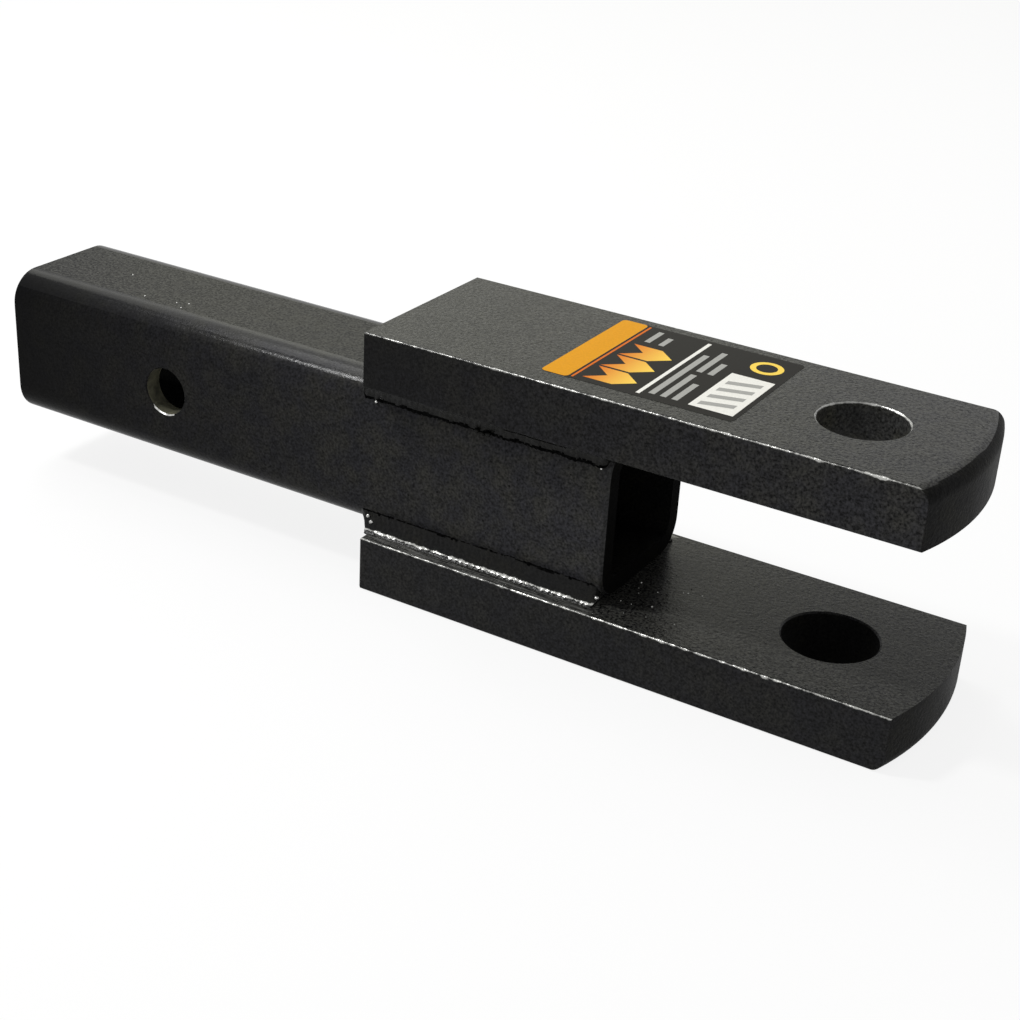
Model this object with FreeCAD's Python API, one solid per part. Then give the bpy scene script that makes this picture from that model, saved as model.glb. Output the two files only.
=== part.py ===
import FreeCAD, Part
import math
import os

# Clevis ball mount: a square hitch tube welded between two flat clevis plates.
# Millimetres. The origin is the middle of the hitch pin hole, on the tube's axis.
# +X runs along the tube towards the ball holes, +Y is the rear side, +Z is up.

# Reach along the mount
pin_to_ball_hole = 228.6
tube_end_to_ball_hole = 63.2
ball_hole_to_tip = 35.7
plate_lap = 82.0

# Square tube
tube_side = 50.8
tube_wall = 6.35
tube_corner_radius = 10.5
tube_inside_radius = 4.15
tube_behind_pin = 67.0
tube_end_break = 0.8
pin_hole_diameter = 16.0
pin_hole_break = 0.4

# Clevis plates
plate_ledge = 6.35
plate_thickness = 18.0
plate_edge_radius = 0.8
plate_end_break = 0.5
tip_bow_radius = 100.0
tip_roll_radius = 4.5
upper_hole_diameter = 25.8
lower_hole_diameter = 28.9
ball_hole_break = 0.5

# Weld beads, which fill the grooves between the tube's round corners and the plates
weld_toe_height = 7.0
weld_toe_depth = 1.0
weld_foot_reach = 2.2
weld_face_height = 4.4
weld_face_depth = 0.1
weld_throat_height = 2.2
weld_throat_proud = 0.35
weld_root_gap = 0.5
weld_overrun = 5.5
weld_tail_scale = 0.35
weld_shoulder_scale = 0.8
weld_short_of_tube_end = 1.2
weld_ripple_pitch = 3.0
weld_ripple_rise = 0.7
weld_ripple_depth = 0.35

# Sticker on the upper plate
sticker_length = 60.3
sticker_front_margin = 7.8
sticker_rear_margin = 4.4
sticker_to_hole_rim = 15.7
sticker_corner_radius = 1.5
sticker_thickness = 0.15

# Places that follow from the sizes above
half_tube = tube_side / 2
tube_rear = -tube_behind_pin
tube_front = pin_to_ball_hole - tube_end_to_ball_hole
half_plate = half_tube + plate_ledge
plate_rear = tube_front - plate_lap
plate_tip = pin_to_ball_hole + ball_hole_to_tip
plate_top = half_tube + plate_thickness

AXIS_X = FreeCAD.Vector(1, 0, 0)
AXIS_Y = FreeCAD.Vector(0, 1, 0)
AXIS_Z = FreeCAD.Vector(0, 0, 1)
ORIGIN = FreeCAD.Vector(0, 0, 0)


def is_parallel(edge, axis):
    """True for a straight edge along the axis."""
    return isinstance(edge.Curve, Part.Line) and abs(edge.Curve.Direction.dot(axis)) > 0.999


def is_rim(edge, radius):
    """True for a circular edge of the given radius."""
    return isinstance(edge.Curve, Part.Circle) and abs(edge.Curve.Radius - radius) < 1e-6


def lies_at(edge, axis, place):
    """True for an edge that lies in the plane across the axis, named by its letter, at the given place."""
    low = getattr(edge.BoundBox, axis + "Min")
    high = getattr(edge.BoundBox, axis + "Max")
    return max(abs(low - place), abs(high - place)) < 1e-4


def square_bar(side, radius, start, end):
    """Square bar with round corners, along X."""
    corner = FreeCAD.Vector(start, -side / 2, -side / 2)
    bar = Part.makeBox(end - start, side, side, corner)
    return bar.makeFillet(radius, [edge for edge in bar.Edges if is_parallel(edge, AXIS_X)])


def make_tube():
    """Square tube with broken ends and the hitch pin hole through both side walls."""
    outside = square_bar(tube_side, tube_corner_radius, tube_rear, tube_front)
    ends = [edge for edge in outside.Edges if lies_at(edge, "X", tube_rear) or lies_at(edge, "X", tube_front)]
    outside = outside.makeChamfer(tube_end_break, ends)
    inside = square_bar(tube_side - 2 * tube_wall, tube_inside_radius, tube_rear, tube_front)
    tube = outside.cut(inside)
    pin_radius = pin_hole_diameter / 2
    pin = Part.makeCylinder(pin_radius, tube_side, FreeCAD.Vector(0, -half_tube, 0), AXIS_Y)
    tube = tube.cut(pin)
    rims = [edge for edge in tube.Edges if is_rim(edge, pin_radius)]
    outer_rims = [edge for edge in rims if abs(abs(edge.BoundBox.Center.y) - half_tube) < 1e-6]
    return tube.makeChamfer(pin_hole_break, outer_rims)


def tip_waste():
    """What the shear takes off the bar's end: all that lies outside a disc with its top edge rolled over."""
    middle = FreeCAD.Vector(plate_tip - tip_bow_radius, 0, half_tube)
    disc = Part.makeCylinder(tip_bow_radius, plate_thickness, middle, AXIS_Z)
    top_rim = [edge for edge in disc.Edges if is_rim(edge, tip_bow_radius) and lies_at(edge, "Z", plate_top)]
    disc = disc.makeFillet(tip_roll_radius, top_rim)
    bow = tip_bow_radius - math.sqrt(tip_bow_radius ** 2 - half_plate ** 2)
    depth = bow + 2 * tip_roll_radius
    corner = FreeCAD.Vector(plate_tip - depth, -half_plate, half_tube)
    return Part.makeBox(depth, 2 * half_plate, plate_thickness, corner).cut(disc)


def make_plate(hole_diameter):
    """Upper clevis plate: a flat bar with round edges, sheared to a bowed tip and drilled for the ball."""
    corner = FreeCAD.Vector(plate_rear, -half_plate, half_tube)
    bar = Part.makeBox(plate_tip - plate_rear, 2 * half_plate, plate_thickness, corner)
    bar = bar.makeFillet(plate_edge_radius, [edge for edge in bar.Edges if is_parallel(edge, AXIS_X)])
    bar = bar.makeChamfer(plate_end_break, [edge for edge in bar.Edges if lies_at(edge, "X", plate_rear)])
    plate = bar.cut(tip_waste())
    hole_radius = hole_diameter / 2
    foot = FreeCAD.Vector(pin_to_ball_hole, 0, half_tube)
    plate = plate.cut(Part.makeCylinder(hole_radius, plate_thickness, foot, AXIS_Z))
    return plate.makeChamfer(ball_hole_break, [edge for edge in plate.Edges if is_rim(edge, hole_radius)])


def weld_section(x, side, level, scale, dip):
    """Bead section across X, scaled about the middle of the tube's corner, with its face lowered by the dip.

    Side and level are 1 or -1 and pick the groove. The part behind the tube's surface is cut away later.
    """
    corner = half_tube - tube_corner_radius * (1 - math.sqrt(0.5))
    root_drop = tube_corner_radius - weld_root_gap
    root_y = half_tube - tube_corner_radius + math.sqrt(tube_corner_radius ** 2 - root_drop ** 2)
    toe_z = half_tube - weld_toe_height
    foot_y = half_tube + weld_foot_reach - dip
    face_y = half_tube - weld_face_depth - dip
    throat_y = half_tube + weld_throat_proud - dip

    def spot(y, z):
        scaled_y = corner + (y - corner) * scale
        scaled_z = corner + (z - corner) * scale
        return FreeCAD.Vector(x, side * scaled_y, level * scaled_z)

    tube_toe = spot(half_tube - weld_toe_depth, toe_z)
    face = spot(face_y, half_tube - weld_face_height)
    throat = spot(throat_y, half_tube - weld_throat_height)
    plate_toe = spot(foot_y, half_tube)
    root = spot(root_y, half_tube)
    behind = spot(root_y, toe_z)
    return Part.makePolygon([tube_toe, face, throat, plate_toe, root, behind, tube_toe])


def make_weld(side, level):
    """Rippled bead that fills one groove flush with the tube's side.

    It starts on the bare tube, past the plate, and stops short of the tube's end.
    """
    bead_start = plate_rear - weld_overrun
    bead_end = tube_front - weld_short_of_tube_end
    count = int((bead_end - plate_rear) // weld_ripple_pitch)
    pitch = (bead_end - plate_rear) / count
    sections = [
        weld_section(bead_start, side, level, weld_tail_scale, 0),
        weld_section(bead_start + weld_overrun / 2, side, level, weld_shoulder_scale, 0),
    ]
    for ripple in range(count):
        x = plate_rear + ripple * pitch
        sections.append(weld_section(x, side, level, 1, 0))
        sections.append(weld_section(x + pitch - weld_ripple_rise, side, level, 1, weld_ripple_depth))
    sections.append(weld_section(bead_end, side, level, weld_shoulder_scale, weld_ripple_depth))
    bead = Part.makeLoft(sections, True, True)
    return bead.cut(square_bar(tube_side, tube_corner_radius, tube_rear, tube_front))


def make_sticker():
    """Thin printed sticker lying on the upper plate, behind the ball hole."""
    front = pin_to_ball_hole - upper_hole_diameter / 2 - sticker_to_hole_rim
    corner = FreeCAD.Vector(front - sticker_length, sticker_front_margin - half_plate, plate_top)
    width = 2 * half_plate - sticker_front_margin - sticker_rear_margin
    sticker = Part.makeBox(sticker_length, width, sticker_thickness, corner)
    return sticker.makeFillet(sticker_corner_radius, [edge for edge in sticker.Edges if is_parallel(edge, AXIS_Z)])


def turned_over(shape):
    """The same piece turned upside down about the tube's axis."""
    flipped = shape.copy()
    flipped.rotate(ORIGIN, AXIS_X, 180)
    return flipped


nodes = {
    "shank_tube": make_tube(),
    "upper_clevis_plate": make_plate(upper_hole_diameter),
    "lower_clevis_plate": turned_over(make_plate(lower_hole_diameter)),
    "weld_upper_front": make_weld(-1, 1),
    "weld_upper_rear": make_weld(1, 1),
    "weld_lower_front": make_weld(-1, -1),
    "weld_lower_rear": make_weld(1, -1),
    "product_sticker": make_sticker(),
}

os.makedirs("parts", exist_ok=True)
for name, shape in nodes.items():
    shape.exportStep("parts/" + name + ".step")
    print(name, "solids", len(shape.Solids), "valid", shape.isValid(), "volume", round(shape.Volume, 1))
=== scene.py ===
import math
import random

import bmesh
import bpy
from mathutils import Matrix, Vector, noise


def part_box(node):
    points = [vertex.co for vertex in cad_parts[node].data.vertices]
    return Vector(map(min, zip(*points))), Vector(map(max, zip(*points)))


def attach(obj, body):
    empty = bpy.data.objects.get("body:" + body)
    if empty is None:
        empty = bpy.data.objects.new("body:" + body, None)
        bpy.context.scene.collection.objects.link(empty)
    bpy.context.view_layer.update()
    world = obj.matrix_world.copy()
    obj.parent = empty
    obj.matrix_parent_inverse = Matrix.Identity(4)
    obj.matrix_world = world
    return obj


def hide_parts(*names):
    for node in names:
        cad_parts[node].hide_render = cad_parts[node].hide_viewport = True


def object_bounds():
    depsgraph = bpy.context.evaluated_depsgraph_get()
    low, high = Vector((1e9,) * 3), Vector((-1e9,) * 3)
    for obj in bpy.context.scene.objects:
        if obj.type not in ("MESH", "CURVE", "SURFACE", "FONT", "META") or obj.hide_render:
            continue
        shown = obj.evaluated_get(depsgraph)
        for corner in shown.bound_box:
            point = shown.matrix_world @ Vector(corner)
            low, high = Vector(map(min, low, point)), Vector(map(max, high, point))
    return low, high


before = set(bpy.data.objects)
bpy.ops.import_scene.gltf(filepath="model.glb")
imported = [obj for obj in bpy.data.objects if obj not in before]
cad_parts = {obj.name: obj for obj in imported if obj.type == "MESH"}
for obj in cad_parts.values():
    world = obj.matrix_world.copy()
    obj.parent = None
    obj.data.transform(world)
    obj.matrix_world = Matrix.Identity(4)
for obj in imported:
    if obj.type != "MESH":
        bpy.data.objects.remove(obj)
cad_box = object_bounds()

MM = 0.001

# Camera of the photograph, in the part's frame
CAMERA_PLACE = (0.373263, -0.446952, 0.238932)
CAMERA_AZIMUTH = 29.645
CAMERA_ELEVATION = 26.506
CAMERA_ROLL = 3.445
CAMERA_LENS = 64.20
CAMERA_SENSOR = 36.0

# Places of the CAD nodes
TUBE_LOW, TUBE_HIGH = [Vector(corner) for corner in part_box("shank_tube")]
UPPER_LOW, UPPER_HIGH = [Vector(corner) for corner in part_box("upper_clevis_plate")]
LOWER_LOW, LOWER_HIGH = [Vector(corner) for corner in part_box("lower_clevis_plate")]
STICKER_LOW, STICKER_HIGH = [Vector(corner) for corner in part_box("product_sticker")]
WELD_LOW, WELD_HIGH = [Vector(corner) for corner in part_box("weld_lower_front")]
HALF_TUBE = TUBE_HIGH.y
HALF_PLATE = UPPER_HIGH.y
PLATE_TOP = UPPER_HIGH.z
TIP_CORNER_X = UPPER_HIGH.x - 11 * MM

# Sizes of the CAD model
TUBE_WALL = 6.35 * MM
PIN_HOLE_REACH = 8.6 * MM
BALL_HOLE_X = 228.6 * MM
UPPER_HOLE_RADIUS = 12.9 * MM
LOWER_HOLE_RADIUS = 14.45 * MM
HOLE_BREAK = 0.5 * MM

# Limits that tell the kinds of faces apart, most of them parts of a face's normal
HOLE_WALL_LIMIT = 0.3
HOLE_RIM_LIMIT = 0.9
END_LIMIT = 0.9
END_RIM_LIMIT = 0.4
TOP_CORNER_LIMIT = 0.62
FLAT_LIMIT = 0.02
# Faces of the tips that take painted shade
TIP_LIMIT = 0.45
BALL_HOLE_LIMIT = 0.5
FACE_SLACK = 0.1 * MM
# Turn of the pin hole's lower rim that takes bare steel, a painted glint
GLINT_RIM_START = -128
GLINT_RIM_END = -62

# Paint: scales are in cells of noise for each metre
PAINT_BLACK = (0.003, 0.003, 0.003)
DARK_SPECKS = (0.012, 0.012, 0.012)
TUBE_SPECKS = (0.054, 0.054, 0.060)
PALE_SPECKS = (0.037, 0.037, 0.041)
# Specks of the tube's end faces, kept near black as painted shade
END_SPECKS_PAINTED_SHADE = (0.005, 0.005, 0.005)
# Lighter specks of the upper ball hole's wall, painted light
UPPER_HOLE_SPECKS_PAINTED_LIGHT = (0.075, 0.075, 0.073)
SETTLED_DUST = (0.055, 0.055, 0.049)
WARM_TINT = (1.35, 1.323, 1.08)
# Bare metal of rubbed edges, which also serves as painted highlight on edges and on the lower beads' foot
RUBBED_METAL_AND_HIGHLIGHT = (0.42, 0.42, 0.40)
RUBBED_METALLIC_AND_HIGHLIGHT = 0.85
SPECK_SCALE = 1250
PATCH_SCALE = 110
GLOSS_SCALE = 60
GLOSS_SPREAD = 0.05
PEEL_SCALE = 800
PEEL_DEPTH = 0.4 * MM

# Share of the dust specks along the mount, whose growth is painted shade, darker towards the start: start,
# end, least and most
TUBE_DUST_AND_SHADE = (TUBE_LOW.x, TUBE_HIGH.x, 0.05, 1.0)
UPPER_DUST_AND_SHADE = (UPPER_LOW.x, UPPER_HIGH.x, 0.2, 1.25)
LOWER_DUST_AND_SHADE = (LOWER_LOW.x, LOWER_HIGH.x, 0.58, 0.66)

# Rubbed edges of the plates, partly painted highlight, and the ledge beside the lower bead
UPPER_WEAR_AND_HIGHLIGHT = 1.1
LOWER_WEAR_AND_HIGHLIGHT = 1.35
WEAR_CORE = 0.22 * MM
WEAR_REACH = 0.5 * MM
WEAR_RAGGED = 0.2 * MM
WEAR_NICK = 0.5 * MM
WEAR_FADE_LENGTH = 90 * MM
WEAR_FADE_LEAST = 0.45
RIM_WEAR_AND_HIGHLIGHT_SQUEEZE = 1.8
STREAK_STRETCH = (0.06, 1.0, 1.0)
STREAK_START = HALF_TUBE + 2.0 * MM
STREAK_FULL = HALF_TUBE + 3.2 * MM

# Weld beads, as the CAD beads with finer ripples
WELD_CORNER_RADIUS = 10.5 * MM
WELD_TOE_HEIGHT = 7.0 * MM
WELD_TOE_DEPTH = 0.75 * MM
WELD_FOOT_REACH = 2.6 * MM
WELD_THROAT_HEIGHT = 2.4 * MM
WELD_THROAT_PROUD = 0.25 * MM
WELD_SINK = 0.3 * MM
WELD_ROOT_DEPTH = 7.3 * MM
WELD_ROOT_DROP = 0.5 * MM
WELD_PITCH = 1.9 * MM
WELD_RIPPLE = 0.16 * MM
WELD_ROUGH = 0.30 * MM
WELD_WANDER_LENGTH = 9 * MM
WELD_COARSE_LENGTH = 4 * MM
WELD_FINE_LENGTH = 1.1 * MM
WELD_STEP = 0.4 * MM
WELD_ROWS = 22
# Lengths of the broad and narrow wander of the painted shade along the beads' toes
WELD_SHADE_BROAD = 3 * MM
WELD_SHADE_NARROW = 1 * MM
WELD_LAP_ROW = 8
WELD_LAP_START = 46 * MM
WELD_LAP_END = 67 * MM
WELD_START_SLANT = 4.0 * MM
WELD_START_LENGTH = 5.5 * MM
WELD_SWELL_LENGTH = 2.5 * MM
WELD_CLOSE_LENGTH = 2.0 * MM
WELD_END_SCALE = 0.35
# Place and raggedness of the painted highlight along the lower beads' foot
WELD_HIGHLIGHT_DROP = 0.75 * MM
WELD_HIGHLIGHT_RAGGED = 0.3 * MM
FRONT, REAR = -1, 1
ABOVE, BELOW = 1, -1

# Sticker print: black ground, with colour fields in layers on it
STICKER_CORNER = 1.5 * MM
LAYER = 0.02 * MM
PRINT_GROUND = 3 * LAYER
PRINT_ROUGHNESS = 0.35
PRINT_IOR = 1.07
GROUND_IOR = 1.09
DISC_STEPS = 32
CORNER_STEPS = 6

# Stage
FLOOR_SIZE = 12
FLOOR_GAP = 0.05 * MM
FLOOR_GLOW = 0.86
WORLD_LIGHT = 0.4


# Shader nodes

def new_material(name):
    material = bpy.data.materials.new(name)
    material.use_nodes = True
    return material, material.node_tree, material.node_tree.nodes["Principled BSDF"]


def object_coordinates(tree):
    return tree.nodes.new("ShaderNodeTexCoord").outputs["Object"]


def separate(tree, vector):
    """Outputs X, Y and Z of a vector socket."""
    node = tree.nodes.new("ShaderNodeSeparateXYZ")
    tree.links.new(vector, node.inputs[0])
    return node.outputs


def math_node(tree, operation, first, second=None):
    """Math node; each value is a number or an output socket. Returns its output."""
    node = tree.nodes.new("ShaderNodeMath")
    node.operation = operation
    for socket, value in zip(node.inputs, (first, second)):
        if isinstance(value, bpy.types.NodeSocket):
            tree.links.new(value, socket)
        elif value is not None:
            socket.default_value = value
    return node.outputs[0]


def product(tree, first, *others):
    for other in others:
        first = math_node(tree, "MULTIPLY", first, other)
    return first


def total(tree, first, *others):
    for other in others:
        first = math_node(tree, "ADD", first, other)
    return first


def apart(tree, first, second):
    """Distance between two values."""
    return math_node(tree, "ABSOLUTE", math_node(tree, "SUBTRACT", first, second))


def noise_node(tree, scale, detail=2.0, roughness=0.5, vector=None):
    node = tree.nodes.new("ShaderNodeTexNoise")
    node.inputs["Scale"].default_value = scale
    node.inputs["Detail"].default_value = detail
    node.inputs["Roughness"].default_value = roughness
    tree.links.new(vector or object_coordinates(tree), node.inputs["Vector"])
    return node.outputs["Fac"]


def map_range(tree, value, start, end, low, high):
    node = tree.nodes.new("ShaderNodeMapRange")
    for name, number in (("From Min", start), ("From Max", end), ("To Min", low), ("To Max", high)):
        node.inputs[name].default_value = number
    tree.links.new(value, node.inputs["Value"])
    return node.outputs["Result"]


def mix_colors(tree, factor, first, second):
    """Mix of two colours by a factor socket; each is a colour or an output socket."""
    node = tree.nodes.new("ShaderNodeMix")
    node.data_type = "RGBA"
    tree.links.new(factor, node.inputs["Factor"])
    for socket, color in (("A", first), ("B", second)):
        if isinstance(color, bpy.types.NodeSocket):
            tree.links.new(color, node.inputs[socket])
        else:
            node.inputs[socket].default_value = (*color, 1)
    return node.outputs["Result"]


def add_bump(tree, shader, height, strength, distance):
    bump = tree.nodes.new("ShaderNodeBump")
    bump.inputs["Strength"].default_value = strength
    bump.inputs["Distance"].default_value = distance
    tree.links.new(height, bump.inputs["Height"])
    tree.links.new(bump.outputs["Normal"], shader.inputs["Normal"])


def seen_directly(tree):
    """1 for rays from the camera and for gloss and glass rays, 0 for rays that only carry light."""
    paths = tree.nodes.new("ShaderNodeLightPath")
    seen = math_node(tree, "MAXIMUM", paths.outputs["Is Camera Ray"], paths.outputs["Is Glossy Ray"])
    return math_node(tree, "MAXIMUM", seen, paths.outputs["Is Transmission Ray"])


# Wear and dust, partly painted highlight and painted shade

def edge_distance(tree, place, top, hole_radius):
    """Distance from a plate's long top edges or, where a radius is given, from its ball hole's rim."""
    depth = math_node(tree, "SUBTRACT", HALF_PLATE, math_node(tree, "ABSOLUTE", place["Y"]))
    drop = apart(tree, place["Z"], top)
    distance = math_node(tree, "MAXIMUM", depth, drop)
    if hole_radius is None:
        return distance
    along = math_node(tree, "SUBTRACT", place["X"], BALL_HOLE_X)
    squares = total(tree, math_node(tree, "POWER", along, 2.0), math_node(tree, "POWER", place["Y"], 2.0))
    across = apart(tree, math_node(tree, "SQRT", squares), hole_radius)
    rim = math_node(tree, "MAXIMUM", product(tree, across, RIM_WEAR_AND_HIGHLIGHT_SQUEEZE), drop)
    return math_node(tree, "MINIMUM", distance, rim)


def plate_edge_wear_and_highlight(tree, strength, top, hole_radius=None):
    """Mask of the edges where the paint has rubbed thin, with ragged borders and nicks; the bare metal is
    partly a painted highlight.
    """
    place = separate(tree, object_coordinates(tree))
    distance = edge_distance(tree, place, top, hole_radius)
    ragged = map_range(tree, noise_node(tree, 420, 3.0, 0.65), 0.3, 0.7, -WEAR_RAGGED, WEAR_RAGGED)
    nicks = map_range(tree, noise_node(tree, 130, 2.0, 0.6), 0.60, 0.72, 0.0, -WEAR_NICK)
    patchy = map_range(tree, noise_node(tree, 45), 0.35, 0.65, 0.55 * strength, strength)
    rubbed_and_lit = map_range(tree, total(tree, distance, ragged, nicks), WEAR_CORE, WEAR_REACH, 1.0, 0.0)
    fade_end = UPPER_LOW.x + WEAR_FADE_LENGTH
    fade = map_range(tree, place["X"], UPPER_LOW.x, fade_end, WEAR_FADE_LEAST, 1.0)
    return product(tree, rubbed_and_lit, patchy, fade)


def ledge_streaks(tree):
    """Mask of faint streaks on top of the lower plate's ledge beside the weld, drawn out along the bead."""
    place = separate(tree, object_coordinates(tree))
    stretch = tree.nodes.new("ShaderNodeMapping")
    stretch.inputs["Scale"].default_value = STREAK_STRETCH
    tree.links.new(object_coordinates(tree), stretch.inputs["Vector"])
    streaks = noise_node(tree, 1500, 3.0, vector=stretch.outputs[0])
    depth = math_node(tree, "ABSOLUTE", place["Y"])
    beside = map_range(tree, depth, STREAK_START, STREAK_FULL, 0.0, 1.0)
    along = map_range(tree, place["X"], TUBE_HIGH.x - 2 * MM, TUBE_HIGH.x, 1.0, 0.0)
    on_top = map_range(tree, apart(tree, place["Z"], -HALF_TUBE), 0.1 * MM, 0.5 * MM, 1.0, 0.0)
    return product(tree, map_range(tree, streaks, 0.45, 0.7, 0.0, 0.5), beside, along, on_top)


def upper_plate_wear_and_highlight(tree):
    """Mask of the upper plate's rubbed edges and hole rim, partly painted highlight."""
    return plate_edge_wear_and_highlight(tree, UPPER_WEAR_AND_HIGHLIGHT, PLATE_TOP, UPPER_HOLE_RADIUS + HOLE_BREAK / 2)


def lower_plate_wear_and_highlight(tree):
    """Mask of the lower plate's rubbed edges, partly painted highlight, and its streaked ledge."""
    edges = plate_edge_wear_and_highlight(tree, LOWER_WEAR_AND_HIGHLIGHT, -HALF_TUBE)
    return math_node(tree, "MAXIMUM", edges, ledge_streaks(tree))


def weld_toe_painted_highlight(tree):
    """Mask of a ragged line along the bead's foot that takes bright bare metal, a painted highlight of the
    glossy foot.
    """
    place = separate(tree, object_coordinates(tree))
    height = math_node(tree, "ABSOLUTE", place["Z"])
    distance = apart(tree, height, HALF_TUBE - WELD_HIGHLIGHT_DROP)
    roughness = noise_node(tree, 350, 3.0, 0.7)
    ragged = map_range(tree, roughness, 0.3, 0.7, -WELD_HIGHLIGHT_RAGGED, WELD_HIGHLIGHT_RAGGED)
    return map_range(tree, total(tree, distance, ragged), 0.1 * MM, 0.35 * MM, 1.0, 0.0)


def dust_with_painted_shade_along(tree, specks, start, end, least, most):
    """Specks that grow along the mount, from the least share at its start to the most at its end; the
    growth is painted shade, darker towards the start.
    """
    place = separate(tree, object_coordinates(tree))
    return product(tree, specks, map_range(tree, place["X"], start, end, least, most))


def settled_dust(tree, grains, color):
    """Colour with pale dust on the faces that look up."""
    normal = separate(tree, tree.nodes.new("ShaderNodeNewGeometry").outputs["Normal"])
    facing = map_range(tree, normal["Z"], 0.7, 0.98, 0.0, 1.0)
    specks = map_range(tree, grains, 0.4, 0.68, 0.0, 1.0)
    return mix_colors(tree, product(tree, specks, facing), color, SETTLED_DUST)


# Materials

def paint_material(
    name, ior, speck_color, roughness, peel, wear_and_highlight=None, dust=None, fine=False, settled=False
):
    """Satin black paint with orange peel, fine specks of dust and a broad change of gloss.

    Wear is a function that makes a mask of bare metal, partly real wear and partly painted highlight, and
    dust the share of the specks along the mount, whose growth along it is painted shade.
    """
    material, tree, shader = new_material(name)
    shader.inputs["IOR"].default_value = ior
    grains = noise_node(tree, SPECK_SCALE, 2.0, 0.6)
    sparse, dense = (0.2, 0.8) if fine else (0.3, 0.75)
    specks = map_range(tree, grains, sparse, dense, 0.0, 1.0)
    # Specks grow along the mount; that growth is painted shade, darker towards the start
    if dust:
        specks = dust_with_painted_shade_along(tree, specks, *dust)
    warm = [part * tint for part, tint in zip(speck_color, WARM_TINT)]
    patches = map_range(tree, noise_node(tree, PATCH_SCALE, 3.0, 0.6), 0.4, 0.65, 0.0, 1.0)
    color = mix_colors(tree, specks, PAINT_BLACK, mix_colors(tree, patches, speck_color, warm))
    if settled:
        color = settled_dust(tree, grains, color)
    if wear_and_highlight:
        mask = wear_and_highlight(tree)
        # Bare metal where masked: partly real wear, partly painted highlight
        color = mix_colors(tree, mask, color, RUBBED_METAL_AND_HIGHLIGHT)
        tree.links.new(map_range(tree, mask, 0.0, 1.0, 0.0, RUBBED_METALLIC_AND_HIGHLIGHT), shader.inputs["Metallic"])
    tree.links.new(color, shader.inputs["Base Color"])
    broad = noise_node(tree, GLOSS_SCALE, 4.0, 0.6)
    gloss = map_range(tree, broad, 0.3, 0.7, roughness - GLOSS_SPREAD, roughness + GLOSS_SPREAD)
    tree.links.new(gloss, shader.inputs["Roughness"])
    add_bump(tree, shader, noise_node(tree, PEEL_SCALE, 3.0, 0.65), peel, PEEL_DEPTH)
    return material


def toe_shade_material():
    """Dull black painted shade in the narrow undercut along a bead's toe, where the crevice is dark."""
    material, tree, shader = new_material("weld_toe_painted_shade")
    shade_variation = map_range(tree, noise_node(tree, 900), 0.4, 0.7, 0.0, 1.0)
    color = mix_colors(tree, shade_variation, (0.0015, 0.0015, 0.0015), (0.006, 0.006, 0.006))
    tree.links.new(color, shader.inputs["Base Color"])
    shader.inputs["Roughness"].default_value = 0.9
    shader.inputs["IOR"].default_value = 1.02
    return material


def glint_steel_material():
    """Bright bare steel, a painted glint on weld droplets and on the lower rim of the pin hole."""
    material, tree, shader = new_material("bare_steel_painted_glint")
    stain = map_range(tree, noise_node(tree, 900, 3.0, 0.6), 0.4, 0.7, 0.0, 1.0)
    color = mix_colors(tree, stain, (0.62, 0.62, 0.60), (0.20, 0.20, 0.19))
    tree.links.new(color, shader.inputs["Base Color"])
    shader.inputs["Metallic"].default_value = 1.0
    shader.inputs["Roughness"].default_value = 0.3
    return material


def hole_material():
    """Pin hole's wall, where the pin has rubbed the paint to a dusty grey."""
    material, tree, shader = new_material("rubbed_hole")
    dust = map_range(tree, noise_node(tree, 300, 4.0, 0.6), 0.35, 0.65, 0.0, 1.0)
    color = mix_colors(tree, dust, (0.03, 0.03, 0.018), (0.11, 0.105, 0.07))
    tree.links.new(color, shader.inputs["Base Color"])
    shader.inputs["Roughness"].default_value = 0.6
    add_bump(tree, shader, noise_node(tree, 700), 0.3, 0.05 * MM)
    return material


def print_material(name, color, ior=PRINT_IOR):
    """Printed vinyl of one colour, with a faint grain."""
    material, tree, shader = new_material(name)
    grain = map_range(tree, noise_node(tree, 1800), 0.3, 0.7, 0.0, 0.25)
    darker = [0.6 * part for part in color]
    tree.links.new(mix_colors(tree, grain, color, darker), shader.inputs["Base Color"])
    shader.inputs["Roughness"].default_value = PRINT_ROUGHNESS
    shader.inputs["IOR"].default_value = ior
    return material


def amber_material():
    """Print that runs from orange to yellow along the sticker."""
    material, tree, shader = new_material("print_amber")
    place = separate(tree, object_coordinates(tree))
    start = STICKER_LOW.x + 12 * MM
    factor = map_range(tree, place["X"], start, start + 15 * MM, 0.0, 1.0)
    color = mix_colors(tree, factor, (0.62, 0.14, 0.015), (0.85, 0.60, 0.10))
    tree.links.new(color, shader.inputs["Base Color"])
    shader.inputs["Roughness"].default_value = PRINT_ROUGHNESS
    shader.inputs["IOR"].default_value = PRINT_IOR
    return material


# Tube and plates

def add_piece(name, mesh, node=None):
    """Links a mesh as a piece that rides on the body, and stands for a CAD node where one is named."""
    piece = bpy.data.objects.new(name, mesh)
    bpy.context.collection.objects.link(piece)
    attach(piece, "root")
    if node:
        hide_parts(node)
    return piece


def is_glint_rim(face):
    """True for the lower part of a pin hole's broken rim, which takes bare steel as a painted glint."""
    turn = math.degrees(math.atan2(face.center.z, face.center.x))
    return face.center.y < 0 and GLINT_RIM_START < turn < GLINT_RIM_END


def is_inside_tube(face):
    """True for a face of the tube's inner walls."""
    return max(abs(face.center.y), abs(face.center.z)) < HALF_TUBE - TUBE_WALL + FACE_SLACK


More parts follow.
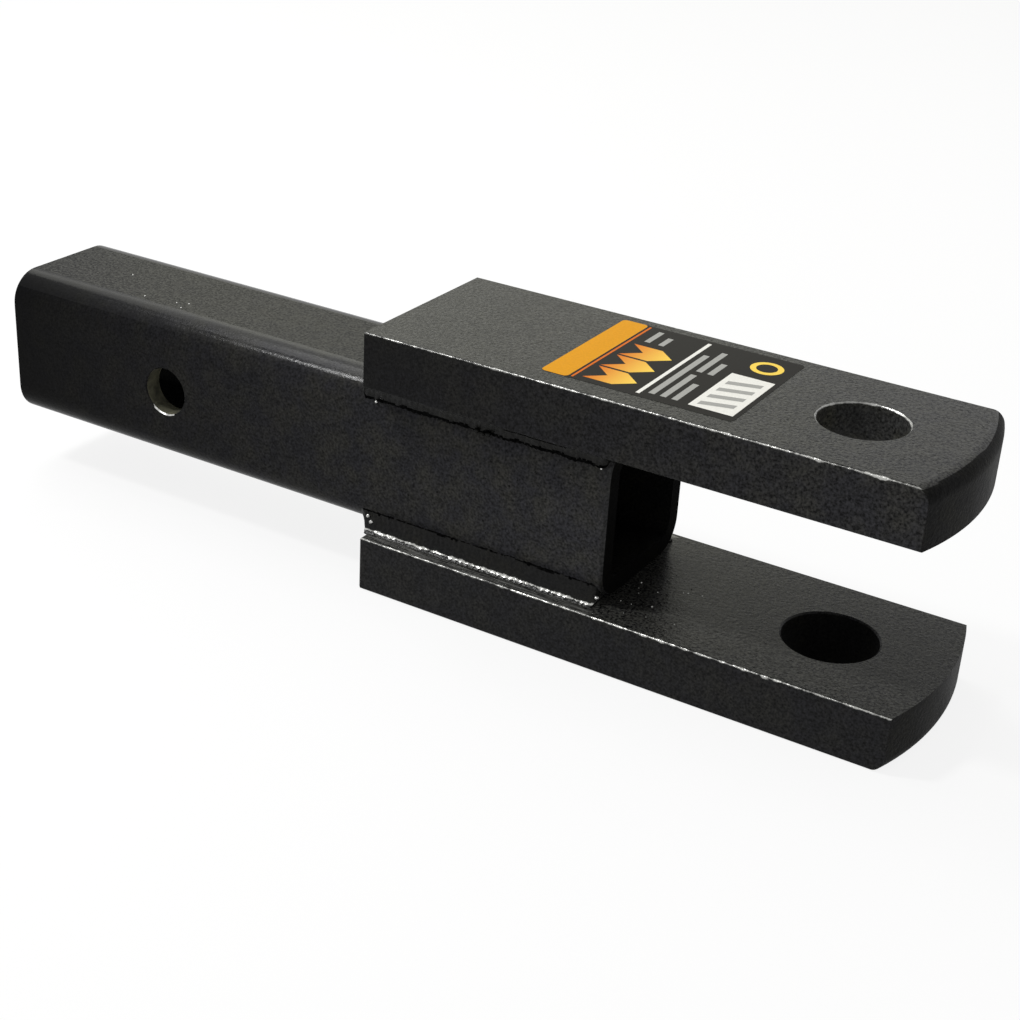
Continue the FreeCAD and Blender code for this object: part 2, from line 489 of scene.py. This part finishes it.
def tube_finish(face):
    """Name of the finish of one of the tube's faces."""
    in_pin_hole = math.hypot(face.center.x, face.center.z) < PIN_HOLE_REACH
    if in_pin_hole and abs(face.normal.y) < HOLE_WALL_LIMIT:
        return "hole"
    if in_pin_hole and abs(face.normal.y) < HOLE_RIM_LIMIT:
        # The lower rim takes bare steel, a painted glint
        return "glint_steel" if is_glint_rim(face) else "paint"
    # End faces take a darker copy of the paint, painted shade
    if abs(face.normal.x) > END_LIMIT:
        return "end"
    # Rims at the tube's ends take a more reflective copy of the paint, a painted highlight
    if abs(face.normal.x) > END_RIM_LIMIT:
        return "rim"
    if is_inside_tube(face):
        return "inside"
    # Upper halves of the round corners take a glossier, more reflective copy of the paint, a painted sheen
    if face.normal.z > TOP_CORNER_LIMIT and abs(face.normal.y) > FLAT_LIMIT:
        return "top_corner_sheen"
    return "paint"


def plate_finish(face, hole_radius):
    """Name of the finish of one of a plate's faces."""
    across = math.hypot(face.center.x - BALL_HOLE_X, face.center.y)
    # Tips take the dull paint, a darker copy that paints shade on them
    if face.center.x > TIP_CORNER_X and face.normal.x > TIP_LIMIT:
        return "shaded_tip"
    if across < hole_radius + FACE_SLACK and abs(face.normal.z) < BALL_HOLE_LIMIT:
        return "hole"
    return "paint"


def upper_plate_finish(face):
    return plate_finish(face, UPPER_HOLE_RADIUS)


def lower_plate_finish(face):
    return plate_finish(face, LOWER_HOLE_RADIUS)


def dress_node(node, finishes, finish_of):
    """Copy of a CAD node's mesh, with each face in the finish that a function names for it."""
    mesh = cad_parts[node].data.copy()
    mesh.materials.clear()
    for material in finishes.values():
        mesh.materials.append(material)
    names = list(finishes)
    for face in mesh.polygons:
        face.material_index = names.index(finish_of(face))
    add_piece(node + "_painted", mesh, node)


# Weld beads and spatter

def bead_profile(part, dip):
    """Point of the bead's face, out from the tube's axis and up to the plate; part runs from 0 to 1."""
    toe = Vector((HALF_TUBE - WELD_TOE_DEPTH, HALF_TUBE - WELD_TOE_HEIGHT))
    throat = Vector((HALF_TUBE + WELD_THROAT_PROUD, HALF_TUBE - WELD_THROAT_HEIGHT))
    foot = Vector((HALF_TUBE + WELD_FOOT_REACH, HALF_TUBE + WELD_SINK))
    middle = 2 * throat - (toe + foot) / 2
    point = toe * (1 - part) ** 2 + middle * 2 * part * (1 - part) + foot * part ** 2
    point.x -= dip
    return point


def bead_dip(x, part, seed):
    """How far the bead's face lies below its smooth form: crescent ripples and a ragged surface."""
    crescent = (part - 0.5) ** 2 * 3
    wander = noise.noise(Vector((x / WELD_WANDER_LENGTH, seed, 0)))
    phase = (x / WELD_PITCH + crescent + 0.6 * wander) % 1.0
    ripple = WELD_RIPPLE * (1 - phase) ** 2
    coarse = noise.noise(Vector((x / WELD_COARSE_LENGTH, part * 1.5, seed)))
    fine = noise.noise(Vector((x / WELD_FINE_LENGTH, part * 5, seed)))
    return ripple + WELD_ROUGH * (0.6 * coarse + 0.35 * fine)


def bead_scale(x):
    """Bead's size along its run: it swells from its start on the bare tube and closes at the tube's end."""
    from_start = (x - WELD_LOW.x) / WELD_SWELL_LENGTH
    from_end = (WELD_HIGH.x - x) / WELD_CLOSE_LENGTH
    nearest = max(0.0, min(1.0, from_start, from_end))
    return WELD_END_SCALE + (1 - WELD_END_SCALE) * math.sqrt(1 - (1 - nearest) ** 2)


def bead_ring(x, side, level, seed):
    """Closed section of the bead: its rippled face, then two points hidden in the tube's wall."""
    scale = bead_scale(x)
    start = max(0.0, 1 - (x - WELD_LOW.x) / WELD_START_LENGTH)
    middle = HALF_TUBE - WELD_CORNER_RADIUS * (1 - math.sqrt(0.5))
    points = []
    for row in range(WELD_ROWS + 1):
        part = row / WELD_ROWS
        points.append(bead_profile(part, bead_dip(x, part, seed)))
    inner = HALF_TUBE - WELD_ROOT_DEPTH
    points.append(Vector((inner, HALF_TUBE - WELD_ROOT_DROP)))
    points.append(Vector((inner, HALF_TUBE - WELD_TOE_HEIGHT)))
    ring = []
    for row, point in enumerate(points):
        slant = WELD_START_SLANT * start * min(1.0, row / WELD_ROWS)
        out = middle + (point.x - middle) * scale
        up = middle + (point.y - middle) * scale
        ring.append(Vector((x + slant, side * out, level * up)))
    return ring


def is_toe_shade_row(x, row, seed, shade_rows, lap):
    """True for the rows that take painted shade: the undercut along the toe, of uneven width, and the cold
    lap above it.
    """
    broad = noise.noise(Vector((x / WELD_SHADE_BROAD, seed, 5)))
    narrow = noise.noise(Vector((x / WELD_SHADE_NARROW, seed, 9)))
    wander = broad + 0.6 * narrow
    if row < shade_rows + round(1.6 * wander):
        return True
    in_lap = WELD_LAP_START < x - UPPER_LOW.x < WELD_LAP_END
    return lap and in_lap and abs(row - WELD_LAP_ROW - round(wander)) < 1


def add_bead(node, side, level, seed, paint, toe_shade, shade_rows, lap=False):
    """Weld bead with fine ripples and a toe line of painted shade, in place of one of the CAD beads."""
    mesh = bpy.data.meshes.new(node + "_bead")
    form = bmesh.new()
    count = round((WELD_HIGH.x - WELD_LOW.x) / WELD_STEP)
    rings = []
    for step in range(count + 1):
        x = WELD_LOW.x + (WELD_HIGH.x - WELD_LOW.x) * step / count
        rings.append([form.verts.new(point) for point in bead_ring(x, side, level, seed)])
    for first, second in zip(rings, rings[1:]):
        for spot in range(len(first)):
            after = (spot + 1) % len(first)
            face = form.faces.new((first[spot], first[after], second[after], second[spot]))
            if spot < WELD_ROWS and is_toe_shade_row(first[0].co.x, spot, seed, shade_rows, lap):
                face.material_index = 1
    form.faces.new(rings[0])
    form.faces.new(reversed(rings[-1]))
    bmesh.ops.recalc_face_normals(form, faces=form.faces)
    form.to_mesh(mesh)
    form.free()
    mesh.shade_smooth()
    mesh.materials.append(paint)
    mesh.materials.append(toe_shade)
    add_piece(node + "_bead", mesh, node)


def add_droplets(name, spots, material):
    """Droplets of weld metal; each spot is a place and a radius."""
    mesh = bpy.data.meshes.new(name)
    form = bmesh.new()
    for place, radius in spots:
        bmesh.ops.create_icosphere(form, subdivisions=2, radius=radius, matrix=Matrix.Translation(place))
    form.to_mesh(mesh)
    form.free()
    mesh.shade_smooth()
    mesh.materials.append(material)
    add_piece(name, mesh)


def add_spatter(paint):
    """Painted spatter on the lower plate past the tube's end and round the front beads."""
    spread = random.Random(7)
    spots = []
    for _ in range(16):
        x = TUBE_HIGH.x + spread.uniform(1, 22) * MM
        y = spread.uniform(-29, 14) * MM
        spots.append((Vector((x, y, -HALF_TUBE)), spread.uniform(0.15, 0.4) * MM))
    for _ in range(12):
        x = spread.uniform(UPPER_LOW.x + 4 * MM, TUBE_HIGH.x - 4 * MM)
        z = spread.choice((-1, 1)) * spread.uniform(4, 16) * MM
        spots.append((Vector((x, -HALF_TUBE, z)), spread.uniform(0.2, 0.4) * MM))
    for along, height, radius in ((37.0, 19.4, 0.8), (39.2, 18.9, 0.6), (41.0, 19.3, 0.8)):
        place = Vector((UPPER_LOW.x + along * MM, -HALF_TUBE, height * MM))
        spots.append((place, radius * MM))
    add_droplets("weld_spatter", spots, paint)


def add_glint_droplets(glint_steel):
    """Bare steel droplets as painted glints at both ends of the front beads, on the lower plate and on the
    tube's top.
    """
    starts = [(0.8, 18.9, 0.5), (-1.3, -20.7, 0.7), (-0.1, -22.5, 0.8)]
    ends = [(79.0, 19.0, 0.4), (79.0, -23.9, 0.7), (81.0, -22.7, 0.7)]
    tube_top = [(-18.7, -12.6), (-6.3, -11.0), (-2.6, -9.2), (-2.2, -13.7), (-35.6, 0.5)]
    spots = []
    for along, height, radius in starts + ends:
        place = Vector((UPPER_LOW.x + along * MM, 0.2 * MM - HALF_TUBE, height * MM))
        spots.append((place, radius * MM))
    spread = random.Random(19)
    for _ in range(14):
        x = TUBE_HIGH.x + spread.uniform(1, 24) * MM
        y = spread.uniform(-29, 5) * MM
        spots.append((Vector((x, y, -HALF_TUBE)), spread.uniform(0.12, 0.3) * MM))
    for x, y in tube_top:
        spots.append((Vector((x * MM, y * MM, HALF_TUBE)), 0.28 * MM))
    add_droplets("weld_glint_droplets", spots, glint_steel)


# Sticker

class StickerPrint:
    """Sheet of the sticker with colour fields on it; places are in mm from its rear front corner."""

    def __init__(self):
        self.form = bmesh.new()

    def corner(self, along, across, layer):
        x = STICKER_LOW.x + along * MM
        y = STICKER_LOW.y + across * MM
        return self.form.verts.new((x, y, STICKER_LOW.z + PRINT_GROUND + layer * LAYER))

    def polygon(self, points, material, layer=1):
        face = self.form.faces.new([self.corner(along, across, layer) for along, across in points])
        face.material_index = material
        if face.normal.z < 0:
            face.normal_flip()

    def bar(self, along, across, length, width, material, lean=0, layer=1):
        """Straight bar along the sticker, which may lean across it."""
        points = [
            (along, across),
            (along + length, across + lean),
            (along + length, across + lean + width),
            (along, across + width),
        ]
        self.polygon(points, material, layer)

    def chevron(self, along, across, reach, depth, thick, material):
        """Arrow head that points along the sticker."""
        points = [
            (along, across),
            (along + thick, across),
            (along + thick + depth, across + reach / 2),
            (along + thick, across + reach),
            (along, across + reach),
            (along + depth, across + reach / 2),
        ]
        self.polygon(points, material)

    def disc(self, along, across, radius, material, layer=1):
        points = []
        for step in range(DISC_STEPS):
            angle = 2 * math.pi * step / DISC_STEPS
            points.append((along + radius * math.cos(angle), across + radius * math.sin(angle)))
        self.polygon(points, material, layer)


def sheet_outline(length, width, radius):
    """Rectangle with round corners, in mm from its own corner."""
    far_along = length - radius
    far_across = width - radius
    middles = [(far_along, far_across), (radius, far_across), (radius, radius), (far_along, radius)]
    points = []
    for quarter, (along, across) in enumerate(middles):
        for step in range(CORNER_STEPS + 1):
            angle = math.pi / 2 * (quarter + step / CORNER_STEPS)
            points.append((along + radius * math.cos(angle), across + radius * math.sin(angle)))
    return points


def add_sticker():
    """Sticker with a plain band, chevrons, rules, bars, a hatched box and a ring, on a black ground."""
    length = (STICKER_HIGH.x - STICKER_LOW.x) / MM
    width = (STICKER_HIGH.y - STICKER_LOW.y) / MM
    ground, orange, amber, pale, grey = range(5)
    long_bars = [(32.6, 4, 36), (36.2, 4, 20), (36.2, 27, 18), (39.8, 4, 14), (39.8, 27, 10)]
    sticker = StickerPrint()
    sticker.polygon(sheet_outline(length, width, STICKER_CORNER / MM), ground, 0)
    sticker.polygon(sheet_outline(8.6, width, STICKER_CORNER / MM), orange)
    sticker.bar(9.4, 1, 0.7, width - 2, amber)
    for step in range(3):
        sticker.chevron(12.0, 3 + 11 * step, 10, 5.5, 9.5, amber)
    for step in range(2):
        sticker.bar(13.5 + 4.6 * step, 38.5, 1.8, 10 - 3 * step, grey)
    sticker.bar(29.6, 2, 1.2, width - 4, pale)
    for along, across, span in long_bars:
        sticker.bar(along, across, 1.9, span, grey)
    sticker.bar(45.2, 3.5, 13.6, 29, pale)
    for step in range(4):
        sticker.bar(47.0, 5.5 + 6.0 * step, 9.8, 2.6, grey, lean=3.0, layer=2)
    sticker.disc(52.0, 42.0, 5.0, amber)
    sticker.disc(52.0, 42.0, 3.2, ground, 2)
    mesh = bpy.data.meshes.new("product_sticker_print")
    sticker.form.to_mesh(mesh)
    sticker.form.free()
    mesh.materials.append(print_material("print_black", (0.012, 0.011, 0.010), GROUND_IOR))
    mesh.materials.append(print_material("print_orange", (0.68, 0.30, 0.012)))
    mesh.materials.append(amber_material())
    mesh.materials.append(print_material("print_pale", (0.80, 0.79, 0.74)))
    mesh.materials.append(print_material("print_grey", (0.36, 0.36, 0.34)))
    add_piece("product_sticker_print", mesh, "product_sticker")


# Stage, light and camera

def add_floor():
    """White floor that glows in part where it is seen or mirrored, and keeps a soft shadow."""
    bpy.ops.mesh.primitive_plane_add(size=FLOOR_SIZE, location=(0.1, 0, cad_box[0][2] - FLOOR_GAP))
    floor = bpy.context.object
    floor.name = "floor"
    material, tree, shader = new_material("floor_paper")
    shader.inputs["Base Color"].default_value = (0.88, 0.88, 0.88, 1)
    shader.inputs["Roughness"].default_value = 0.9
    shader.inputs["Specular IOR Level"].default_value = 0.0
    glow = tree.nodes.new("ShaderNodeEmission")
    mix = tree.nodes.new("ShaderNodeMixShader")
    tree.links.new(product(tree, seen_directly(tree), FLOOR_GLOW), mix.inputs["Fac"])
    tree.links.new(shader.outputs[0], mix.inputs[1])
    tree.links.new(glow.outputs[0], mix.inputs[2])
    tree.links.new(mix.outputs[0], tree.nodes["Material Output"].inputs["Surface"])
    floor.data.materials.append(material)


def add_world():
    """White surroundings: full white where they are seen or mirrored, softer as light."""
    world = bpy.data.worlds.new("studio")
    world.use_nodes = True
    tree = world.node_tree
    background = tree.nodes["Background"]
    background.inputs["Color"].default_value = (1, 1, 1, 1)
    strength = map_range(tree, seen_directly(tree), 0.0, 1.0, WORLD_LIGHT, 1.0)
    tree.links.new(strength, background.inputs["Strength"])
    bpy.context.scene.world = world


def add_panel(name, place, target, size, power, color=(1, 1, 1)):
    """Soft rectangular lamp at a place, aimed at a target."""
    data = bpy.data.lights.new(name, "AREA")
    data.shape = "RECTANGLE"
    data.size, data.size_y = size
    data.energy = power
    data.color = color
    lamp = bpy.data.objects.new(name, data)
    bpy.context.collection.objects.link(lamp)
    aim = (Vector(target) - Vector(place)).to_track_quat("-Z", "Y")
    lamp.matrix_world = Matrix.Translation(place) @ aim.to_matrix().to_4x4()


def add_camera():
    """Camera at the photograph's place, turned by azimuth, elevation and a small roll."""
    data = bpy.data.cameras.new("photo_camera")
    data.lens = CAMERA_LENS
    data.sensor_width = CAMERA_SENSOR
    camera = bpy.data.objects.new("photo_camera", data)
    bpy.context.collection.objects.link(camera)
    turn = Matrix.Rotation(math.radians(CAMERA_AZIMUTH), 4, "Z")
    tilt = Matrix.Rotation(math.radians(90 - CAMERA_ELEVATION), 4, "X")
    roll = Matrix.Rotation(math.radians(CAMERA_ROLL), 4, "Z")
    camera.matrix_world = Matrix.Translation(CAMERA_PLACE) @ turn @ tilt @ roll
    bpy.context.scene.camera = camera


# The finishes
# Bare steel for painted glints
glint_steel = glint_steel_material()
# Dull black painted shade for the crevices along the beads' toes
toe_shade = toe_shade_material()
# Dull paint: the tube's own dull inside, and painted shade on the plates' tips
dull_paint_and_tip_shade = paint_material("black_paint_inside_and_shaded_tips", 1.09, DARK_SPECKS, 0.5, 0.6)
weld_paint = paint_material("black_paint_weld", 1.18, DARK_SPECKS, 0.25, 0.35)
# Weld paint with a painted highlight along the foot
weld_paint_with_highlight = paint_material(
    "black_paint_weld_painted_highlight", 1.2, DARK_SPECKS, 0.22, 0.35, wear_and_highlight=weld_toe_painted_highlight
)
tube_finishes = {
    "paint": paint_material(
        "black_paint_tube", 1.085, TUBE_SPECKS, 0.2, 0.25, dust=TUBE_DUST_AND_SHADE, fine=True, settled=True
    ),
    "hole": hole_material(),
    # Darker copy of the paint on the tube's end faces, painted shade
    "end": paint_material("black_paint_tube_end_painted_shade", 1.03, END_SPECKS_PAINTED_SHADE, 0.6, 0.35),
    # More reflective copy of the paint on the tube's end rims, painted highlight
    "rim": paint_material("black_paint_rims_painted_highlight", 1.25, PALE_SPECKS, 0.3, 0.45),
    "glint_steel": glint_steel,
    # Glossier copy of the paint on the corners' upper halves, painted sheen
    "top_corner_sheen": paint_material(
        "black_paint_corners_painted_sheen", 1.15, TUBE_SPECKS, 0.16, 0.12, dust=TUBE_DUST_AND_SHADE, fine=True
    ),
    "inside": dull_paint_and_tip_shade,
}
upper_finishes = {
    "paint": paint_material(
        "black_paint_upper", 1.15, PALE_SPECKS, 0.25, 0.5, upper_plate_wear_and_highlight, UPPER_DUST_AND_SHADE, settled=True
    ),
    "shaded_tip": dull_paint_and_tip_shade,
    # Lighter copy of the paint on the ball hole's wall, painted light
    "hole": paint_material("black_paint_upper_hole_painted_light", 1.2, UPPER_HOLE_SPECKS_PAINTED_LIGHT, 0.4, 0.6),
}
lower_finishes = {
    "paint": paint_material(
        "black_paint_lower", 1.17, PALE_SPECKS, 0.25, 0.5, lower_plate_wear_and_highlight, LOWER_DUST_AND_SHADE, settled=True
    ),
    "shaded_tip": dull_paint_and_tip_shade,
    # Darker copy of the paint on the ball hole's wall, painted shade
    "hole": paint_material("black_paint_lower_hole_painted_shade", 1.06, DARK_SPECKS, 0.6, 0.6),
}

# The mount
dress_node("shank_tube", tube_finishes, tube_finish)
dress_node("upper_clevis_plate", upper_finishes, upper_plate_finish)
dress_node("lower_clevis_plate", lower_finishes, lower_plate_finish)
add_bead("weld_upper_front", FRONT, ABOVE, 1.7, weld_paint, toe_shade, 3, lap=True)
add_bead("weld_upper_rear", REAR, ABOVE, 4.1, weld_paint, toe_shade, 3)
add_bead("weld_lower_front", FRONT, BELOW, 8.3, weld_paint_with_highlight, toe_shade, 2)
add_bead("weld_lower_rear", REAR, BELOW, 12.9, weld_paint_with_highlight, toe_shade, 2)
add_spatter(weld_paint)
add_glint_droplets(glint_steel)
add_sticker()

# The studio
add_floor()
add_world()
add_panel("overhead_panel", (-0.5, 0.1, 0.98), (0.06, -0.02, 0.02), (0.5, 0.3), 4.0)
add_panel("rear_panel", (-0.75, 1.39, 0.81), (0.1, 0, 0.04), (0.9, 0.9), 1.2, (1.0, 1.0, 0.6))
add_panel("corner_strip", (-0.49, -0.34, 0.96), (0.07, -0.02, 0.02), (0.09, 0.2), 7.0)
add_panel("overhead_rear", (-0.74, 0.64, 0.97), (0.03, -0.02, 0.02), (0.8, 0.8), 4.6, (1.0, 1.0, 0.93))
add_camera()
bpy.context.scene.view_settings.view_transform = "Standard"
